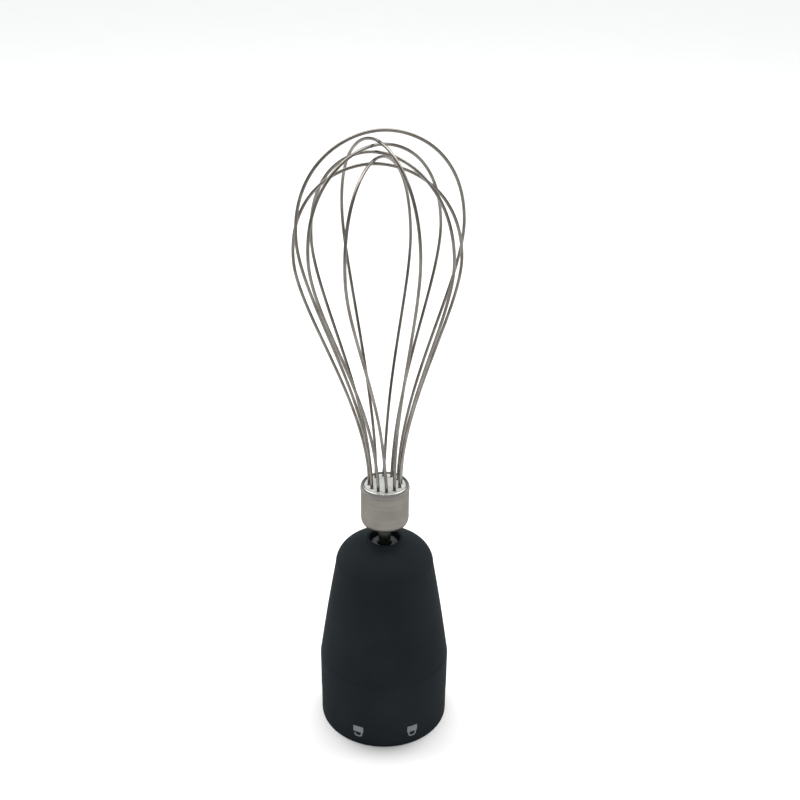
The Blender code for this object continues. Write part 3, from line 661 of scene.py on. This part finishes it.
def markOutlines(m, isOpen):
    half = m["width"] / 2
    outer = m["shackleWidth"] / 2
    inner = outer - m["line"]
    drop = m["drop"]
    corner = m["corner"]
    big = shackleArc(outer, m["shackle"] - drop, drop)
    small = shackleArc(inner, m["shackle"] - drop - m["line"], drop)
    right = sweepArc((half - corner, m["body"] - corner), (corner, corner), 0, 90, 4)
    left = sweepArc((-half + corner, m["body"] - corner), (corner, corner), 90, 180, 4)
    top = [(half, 0.1)] + right + left + [(-half, 0.1), (-half + 0.1, 0.0)]
    if isOpen:
        return [top + [(inner, 0.0)] + small[:-2] + [(-inner, -drop - 0.35), (-outer, -drop - 0.35)]
                + big[:-2][::-1] + [(outer, 0.0), (half - 0.1, 0.0)]]
    return [top + [(-outer, 0.0)] + big[::-1] + [(outer, 0.0), (half - 0.1, 0.0)],
            [(inner, 0.0)] + small + [(-inner, 0.0)]]


def makeMark(name, m, isOpen, azimuth):
    drawn = bpy.data.curves.new(name, "CURVE")
    drawn.dimensions = "2D"
    drawn.fill_mode = "BOTH"
    drawn.extrude = m["ink"] / 2 * mm
    for outline in markOutlines(m, isOpen):
        spline = drawn.splines.new("POLY")
        spline.points.add(len(outline) - 1)
        for point, (x, y) in zip(spline.points, outline):
            point.co = (x * mm, y * mm, 0.0, 1.0)
        spline.use_cyclic_u = True
    flat = bpy.data.objects.new(name + "Flat", drawn)
    bpy.context.scene.collection.objects.link(flat)
    bpy.context.view_layer.update()
    mesh = bpy.data.meshes.new_from_object(flat.evaluated_get(bpy.context.evaluated_depsgraph_get()))
    bpy.data.objects.remove(flat)
    bm = bmesh.new()
    bm.from_mesh(mesh)
    # upright cuts, so that the mark can bend round the collar
    for i in range(-m["bendCuts"], m["bendCuts"] + 1):
        cut = i * m["bendStep"] * mm
        everything = bm.verts[:] + bm.edges[:] + bm.faces[:]
        bmesh.ops.bisect_plane(bm, geom=everything, plane_co=(cut, 0, 0), plane_no=(1, 0, 0))
    for vert in bm.verts:
        across, up, out = vert.co / mm
        radius = collar["radius"] + m["lift"] + m["ink"] / 2 + out
        x, y = front(radius, azimuth + math.degrees(across / collar["radius"]))
        vert.co = (x * mm, y * mm, (m["topZ"] - m["body"] + up) * mm)
    return objectFrom(bm, name, finishes["printGrey"], 40)


openMark = makeMark("lockMarkOpen", lockMarks, True, lockMarks["openDeg"])
settle(openMark, "gearbox", "grey_print", "lock_mark_open")
closedMark = makeMark("lockMarkClosed", lockMarks, False, lockMarks["closedDeg"])
settle(closedMark, "gearbox", "grey_print", "lock_mark_closed")
print("lock marks printed")


# cover plate and screws, seen through the mouth

cover = {
    "radius": 23.1,
    "low": 30.0,
    "thick": 2.2,
    "tubeIn": 5.3,
    "tubeOut": 7.4,
    "tubeLow": 24.4,
    "tubeHigh": 38.0,
    "ribCount": 9,
    "ribStartDeg": 10,
    "ribHeight": 1.3,
    "ribThick": 0.9,
    "ribInR": 6.6,
    "ribOutR": 20.3,
    "seatR": 3.0,
    "holeR": 1.4,
    "screwCircleR": 18.2,
    "screwStartDeg": 30.0,
}


def makeCover(c):
    high = c["low"] + c["thick"]
    profile = rounded([
        (c["tubeOut"], c["tubeHigh"], 0.4),
        (c["tubeOut"], high, 0.5),
        (c["radius"], high, 0.4),
        (c["radius"], c["low"], 0.4),
        (c["tubeOut"], c["low"], 1.0),
        (c["tubeOut"], c["tubeLow"], 0.5),
        (c["tubeIn"] - 1.2, c["tubeLow"], 0.4),
        (c["tubeIn"] - 1.2, c["tubeLow"] + 1.2),
        (c["tubeIn"], c["tubeLow"] + 1.2),
        (c["tubeIn"], c["tubeHigh"], 0.3),
    ])
    made = turned("gearCover", profile, finishes["blackInside"], 120)
    ribs = []
    for i in range(c["ribCount"]):
        turn = 360.0 * i / c["ribCount"] + c["ribStartDeg"]
        outline = blockPoints(c["ribInR"], c["ribOutR"], -c["ribThick"] / 2, c["ribThick"] / 2, turn)
        ribs.append(raised(f"coverRib{i}", outline, c["low"] - c["ribHeight"], c["low"] + 0.4))
    holes = []
    for i in range(3):
        x, y = polar(c["screwCircleR"], c["screwStartDeg"] + 120 * i)
        ribs.append(raised(f"seat{i}", ringPoints(c["seatR"], 36, x, y), c["low"] - 0.25, c["low"] + 0.5))
        holes.append(raised(f"hole{i}", ringPoints(c["holeR"], 28, x, y), c["low"] - 3, high + 1))
    return shaped(made, ribs, holes)


coverScrew = {
    "shankR": 1.1,
    "headR": 2.1,
    "headTall": 2.0,
    "tipZ": 39.0,
    "slotLong": 2.3,
    "slotWide": 0.56,
    "slotDeep": 1.0,
    "turnEachDeg": 25,
}


def makeScrew(number, c, s):
    x, y = polar(c["screwCircleR"], c["screwStartDeg"] + 120 * number)
    seat = c["low"] - 0.3
    low = seat - s["headTall"]
    profile = rounded([
        (0.0, s["tipZ"]),
        (s["shankR"] - 0.4, s["tipZ"]),
        (s["shankR"], s["tipZ"] - 1.2),
        (s["shankR"], seat),
        (s["headR"], seat, 0.15),
        (s["headR"], low + 0.7, 0.5),
        (s["headR"] - 0.8, low, 0.6),
        (0.0, low - 0.05),
    ])
    made = turned(f"coverScrew{number + 1}", profile, finishes["zincScrew"], 48, closed=False)
    slots = []
    for k in range(2):
        turn = 90 * k + s["turnEachDeg"] * number
        long = s["slotLong"] / 2
        wide = s["slotWide"] / 2
        outline = blockPoints(-long, long, -wide, wide, turn)
        slots.append(raised(f"cross{number}{k}", outline, low - 1, low + s["slotDeep"]))
    shaped(made, (), slots)
    made.location = (x * mm, y * mm, 0)
    return made


settle(makeCover(cover), "gearbox", "black_plastic", "gear_cover")
for number in range(3):
    settle(makeScrew(number, cover, coverScrew), "gearbox", "steel", f"cover_screw_{number + 1}")
print("cover and screws in")


# drive coupling

coupling = {
    "radius": 6.0,
    "low": 10.0,
    "high": 23.2,
    "hexR": 3.6,
    "hexTop": 18.0,
    "boreR": 2.2,
    "fins": 6,
    "finThick": 1.0,
}


def makeCoupling(c):
    profile = rounded([
        (c["radius"] - 1.4, c["high"], 0.3),
        (c["radius"] - 1.4, c["high"] - 2.0, 0.4),
        (c["radius"] - 0.5, c["high"] - 3.2, 0.4),
        (c["radius"] - 0.5, c["low"], 0.7),
        (1.0, c["low"]),
        (1.0, c["high"]),
    ])
    made = turned("driveCoupling", profile, finishes["couplingWhite"], 96)
    fins = []
    for i in range(c["fins"]):
        turn = 360 / c["fins"] * i
        outline = blockPoints(c["radius"] - 1.4, c["radius"], -c["finThick"] / 2, c["finThick"] / 2, turn)
        fins.append(raised(f"fin{i}", outline, c["low"] + 1.0, c["high"] - 4.0))
    hexagon = raised("hexagon", ringPoints(c["hexR"], 6, startDeg=90), c["low"] - 1, c["hexTop"])
    bore = raised("bore", ringPoints(c["boreR"], 32), c["hexTop"] + 0.5, c["high"] + 1)
    return soften(shaped(made, fins, [hexagon, bore]), 0.12, 2, 50)


settle(makeCoupling(coupling), "input", "white_acetal", "drive_coupling")
print("coupling made")


# turning socket in the nose

spindle = {
    "radius": 5.7,
    "bore": 2.8,
    "topZ": 85.8,
    "floorZ": 66.0,
    "snapZ": 80.0,
    "snapPocket": 1.2,
    "grooveLow": 71.2,
    "grooveHigh": 72.6,
    "grooveDeep": 0.7,
    "hubZ": 68.9,
    "footR": 5.0,
    "footZ": 61.8,
    "footFlat": 4.1,
    "driveFlat": 2.2,
    "driveTopZ": 75.0,
}


def makeSpindle(s):
    profile = rounded([
        (s["radius"], s["topZ"], 0.5),
        (s["radius"], s["grooveHigh"]),
        (s["radius"] - s["grooveDeep"], s["grooveHigh"]),
        (s["radius"] - s["grooveDeep"], s["grooveLow"]),
        (s["radius"], s["grooveLow"]),
        (s["radius"], s["hubZ"], 0.2),
        (s["footR"], s["hubZ"]),
        (s["footR"], s["footZ"], 0.3),
        (0.0, s["footZ"]),
        (0.0, s["floorZ"]),
        (s["bore"], s["floorZ"]),
        (s["bore"], s["snapZ"] - 0.5),
        (s["bore"] + s["snapPocket"], s["snapZ"] - 0.5),
        (s["bore"] + s["snapPocket"], s["snapZ"] + 1.2),
        (s["bore"], s["snapZ"] + 1.2),
        (s["bore"], s["topZ"], 0.6),
    ])
    made = turned("outputSpindle", profile, finishes["spindleGrey"], 96)
    flats = sideBlocks("footFlat", 8, s["footFlat"], 8, s["footZ"] - 1.8, s["hubZ"])
    ribs = sideBlocks("driveRib", 3.4, s["driveFlat"], 3.2, s["floorZ"] - 0.2, s["driveTopZ"])
    return shaped(made, ribs, flats)


settle(makeSpindle(spindle), "output", "grey_acetal", "output_spindle")
print("spindle made")


# whisk shaft, cup and holder

whisk = {
    "shaftR": 2.5,
    "shaftLow": 67.0,
    "shaftTop": 111.0,
    "shaftFlat": 1.9,
    "shaftFlatTop": 76.0,
    "snapZ": 80.0,
    "snapDeep": 0.4,
    "cupR": 9.8,
    "beadR": 9.98,
    "beadWide": 1.15,
    "beadTall": 1.95,
    "cupLow": 95.9,
    "cupTop": 113.9,
    "footRun": 1.15,
    "footRise": 3.0,
    "cupWall": 0.7,
    "plateTop": 113.4,
    "plateLow": 106.5,
    "plateR": 8.55,
    "holeR": 0.74,
    "holeCircleR": 6.42,
    "holePhaseDeg": 5.5,
}


def makeWhiskShaft(w):
    profile = rounded([
        (0.0, w["shaftTop"]),
        (w["shaftR"], w["shaftTop"], 0.2),
        (w["shaftR"], w["snapZ"] + 1.4, 0.3),
        (w["shaftR"] - w["snapDeep"], w["snapZ"] + 1.0, 0.3),
        (w["shaftR"] - w["snapDeep"], w["snapZ"] - 0.3, 0.3),
        (w["shaftR"], w["snapZ"] - 0.7, 0.3),
        (w["shaftR"], w["shaftLow"] + 1.0, 0.3),
        (w["shaftR"] - 1.0, w["shaftLow"], 0.2),
        (0.0, w["shaftLow"]),
    ])
    made = turned("whiskShaft", profile, finishes["darkSteel"], 64, closed=False)
    flats = sideBlocks("shaftFlat", 4, w["shaftFlat"], 3.5, w["shaftLow"] - 1.0, w["shaftFlatTop"])
    return shaped(made, (), flats)


def makeCup(w):
    wide = w["beadWide"]
    tall = w["beadTall"]
    beadZ = w["cupTop"] - tall
    roll = sweepArc((w["beadR"] - wide, beadZ), (wide, tall), 96, 0, 20)
    neck = rounded([
        roll[-1],
        (w["beadR"], beadZ - 0.35, 0.3),
        (w["cupR"] - 0.05, beadZ - 0.75, 0.25),
        (w["cupR"], beadZ - 1.6, 0.3),
        (w["cupR"], beadZ - 3.0),
    ])[1:]
    foot = sweepArc((w["cupR"] - w["footRun"], w["cupLow"] + w["footRise"]), (w["footRun"], w["footRise"]),
                    0, -86, 12)
    inside = rounded([
        (w["shaftR"] + 0.25, w["cupLow"], 0.2),
        (w["shaftR"] + 0.25, w["cupLow"] + w["cupWall"], 0.2),
        (w["cupR"] - w["footRun"] - 0.2, w["cupLow"] + w["cupWall"], 0.6),
        (w["cupR"] - w["cupWall"], w["cupLow"] + w["footRise"] + 0.4, 0.8),
        (w["cupR"] - w["cupWall"], beadZ + 0.4, 0.4),
        (roll[0][0] - 0.08, w["cupTop"] - 0.75, 0.3),
        (roll[0][0] - 0.08, w["cupTop"] - 0.12, 0.1),
    ])
    return turned("whiskCup", roll + neck + foot + inside, finishes["satinSteel"], 144, sharpDeg=50)


def makeHolder(w):
    profile = rounded([
        (0.0, w["plateTop"] + 0.15),
        (w["plateR"] - 1.6, w["plateTop"] + 0.1, 0.5),
        (w["plateR"], w["plateTop"] - 0.15, 0.4),
        (w["plateR"], w["plateLow"], 0.3),
        (w["shaftR"] + 0.3, w["plateLow"]),
        (w["shaftR"] + 0.3, w["shaftTop"] + 0.3),
        (0.0, w["shaftTop"] + 0.3),
    ])
    made = turned("wireHolder", profile, finishes["holderGrey"], 96, closed=False)
    holes = []
    for i in range(12):
        x, y = front(w["holeCircleR"], w["holePhaseDeg"] + 30 * i)
        outline = ringPoints(w["holeR"], 28, x, y)
        holes.append(raised(f"wireHole{i}", outline, w["plateLow"] - 1, w["plateTop"] + 1))
    return soften(shaped(made, (), holes), 0.1, 2, 50)


settle(makeWhiskShaft(whisk), "whisk", "steel", "whisk_shaft")
settle(makeCup(whisk), "whisk", "satin_steel", "whisk_ferrule")
settle(makeHolder(whisk), "whisk", "holder_grey", "wire_holder")
print("cup, holder and shaft made")


# whisk wires

wires = {
    "radius": 0.61,
    "tailZ": 107.5,
    "exitZ": 114.1,
    "lowSteps": 46,
    "topSteps": 38,
    # how far each curve handle reaches, as a share
    "leave": 0.379,
    "swell": 0.217,
    "shoulder": 0.711,
    "crown": 0.428,
    # hole number, plane azimuth, half width, widest height, apex height, lean
    "loops": (
        (4, 109.3, 32.0, 219.5, 254.9, -2.5),
        (1, 29.9, 28.7, 218.2, 251.6, -4.0),
        (5, 135.7, 33.9, 215.1, 249.6, -4.7),
        (2, 64.6, 28.8, 211.6, 247.3, -3.2),
        (0, -21.8, 31.3, 210.0, 245.0, -3.7),
        (3, 96.0, 30.8, 208.8, 243.2, -4.7),
    ),
}


def bezier(a, b, c, d, t):
    s = 1 - t
    shares = (s ** 3, 3 * s * s * t, 3 * s * t * t, t ** 3)
    return tuple(sum(share * value for share, value in zip(shares, values)) for values in zip(a, b, c, d))


def halfLoop(radius, widest, apex, w):
    # (radius, height) from the holder up to the widest place, then over the round top
    reach = widest - w["exitZ"]
    rise = apex - widest
    ring = whisk["holeCircleR"]
    leaving = (ring, w["exitZ"] + w["leave"] * reach)
    low = [(ring, w["exitZ"]), leaving, (radius, widest - w["swell"] * reach), (radius, widest)]
    shoulder = (radius, widest + w["shoulder"] * rise)
    top = [(radius, widest), shoulder, (w["crown"] * radius, apex), (0.0, apex)]
    points = [bezier(*low, i / w["lowSteps"]) for i in range(w["lowSteps"] + 1)]
    return points + [bezier(*top, i / w["topSteps"]) for i in range(1, w["topSteps"] + 1)]


def loopPath(w, hole, plane, radius, widest, apex, lean):
    # leaves its two holes upright and turns into its own plane as it widens
    holeDeg = whisk["holePhaseDeg"] + 30 * hole
    sides = []
    for side in (1, -1):
        points = []
        for r, z in halfLoop(radius, widest, apex, w):
            up = max(0.0, min(1.0, (z - w["exitZ"]) / (widest - w["exitZ"]))) ** 0.55
            ease = up * up * (3 - 2 * up)
            x, y = front(r * side, holeDeg + (plane - holeDeg) * ease)
            share = max(0.0, (z - w["exitZ"]) / (apex - w["exitZ"]))
            points.append((x + lean * share ** 1.5, y, z))
        x, y = front(whisk["holeCircleR"] * side, holeDeg)
        sides.append([(x, y, w["tailZ"]), (x, y, w["tailZ"] + 3)] + points)
    return sides[0] + sides[1][:-1][::-1]


def makeWire(number, w):
    path = loopPath(w, *w["loops"][number])
    curve = bpy.data.curves.new(f"whiskWire{number + 1}", "CURVE")
    curve.dimensions = "3D"
    curve.bevel_depth = w["radius"] * mm
    curve.bevel_resolution = 4
    curve.use_fill_caps = True
    spline = curve.splines.new("POLY")
    spline.points.add(len(path) - 1)
    for point, place in zip(spline.points, path):
        point.co = (*(Vector(place) * mm), 1.0)
    spline.use_smooth = True
    curve.materials.append(drawnWire(f"drawnWire{number + 1}", wireLook, number * 9))
    made = bpy.data.objects.new(f"whiskWire{number + 1}", curve)
    bpy.context.scene.collection.objects.link(made)
    return made


for number in range(6):
    settle(makeWire(number, wires), "whisk", "wire_steel", f"whisk_wire_{number + 1}")
print("wires bent")


# hidden pieces keep their shapes and get finishes

hiddenFinishes = {
    "gearWhite": ("ring_gear", "planet_gear_1", "planet_gear_2", "planet_gear_3"),
    "carrierGrey": ("planet_carrier",),
    "bronze": ("input_bushing", "output_bushing", "thrust_washer"),
    "turnedSteel": (
        "sun_gear", "input_shaft", "carrier_plate",
        "planet_pin_1", "planet_pin_2", "planet_pin_3",
    ),
    "springSteel": ("output_circlip", "snap_ring"),
    "sealRubber": ("shaft_seal",),
}

for finishName, names in hiddenFinishes.items():
    for name in names:
        for slot in nodes[name].material_slots:
            slot.material = finishes[finishName]
print("gearbox inside finished")


# floor and light

studio = {
    "floorTone": (0.86, 0.86, 0.855),
    "worldTone": (0.97, 0.985, 1.0),
    "worldStrength": 0.58,
    "backdrop": 0.97,
    "ceilingPower": 1.8,
    "ceilingSpreadDeg": 46.0,
    "ceilingTiltDeg": 16.0,
    # name, place in metres, size, power, tone
    "lights": (
        ("leftSoft", (-0.58, 0.38, 1.05), 0.8, 6.6, (1.0, 0.99, 0.97)),
        ("rightSoft", (0.58, 0.38, 1.05), 0.8, 6.4, (1.0, 0.98, 0.96)),
    ),
}


def makeFloor(s):
    bm = bmesh.new()
    bmesh.ops.create_grid(bm, x_segments=2, y_segments=2, size=6.0)
    floor = objectFrom(bm, "floor", None)
    f = Finish("paleFloor")
    speck = f.cloud(14.0, 3.0, 0.5)
    low = tuple(v * 0.985 for v in s["floorTone"])
    tone = f.blend(speck, low, s["floorTone"])
    floor.data.materials.append(f.give(baseColor=tone, roughness=0.6 + (speck - 0.5) * 0.1))


def makeLights(s):
    for name, place, size, power, tone in s["lights"]:
        data = bpy.data.lights.new(name, "AREA")
        data.shape = "DISK"
        data.size = size
        data.energy = power
        data.color = tone
        lamp = bpy.data.objects.new(name, data)
        bpy.context.scene.collection.objects.link(lamp)
        lamp.location = place
        aim = Vector((0, 0, 0.11)) - Vector(place)
        lamp.rotation_euler = aim.to_track_quat("-Z", "Y").to_euler()
    ceiling = bpy.data.lights.new("ceiling", "SUN")
    ceiling.energy = s["ceilingPower"]
    ceiling.angle = math.radians(s["ceilingSpreadDeg"])
    lamp = bpy.data.objects.new("ceiling", ceiling)
    bpy.context.scene.collection.objects.link(lamp)
    lamp.location = (0, 0.6, 2)
    lamp.rotation_euler = (-math.radians(s["ceilingTiltDeg"]), 0, 0)
    world = bpy.data.worlds.new("studio")
    board = Board(world)
    sky = board.tree.nodes["Background"]
    board.feed(sky.inputs["Color"], s["worldTone"])
    # the backdrop looks paler than the light it gives
    direct = board.node("LightPath", out="Is Camera Ray")
    board.feed(sky.inputs["Strength"], s["worldStrength"] + direct * (s["backdrop"] - s["worldStrength"]))
    bpy.context.scene.world = world
    bpy.context.scene.view_settings.view_transform = "Standard"


makeFloor(studio)
makeLights(studio)
print("studio lit")
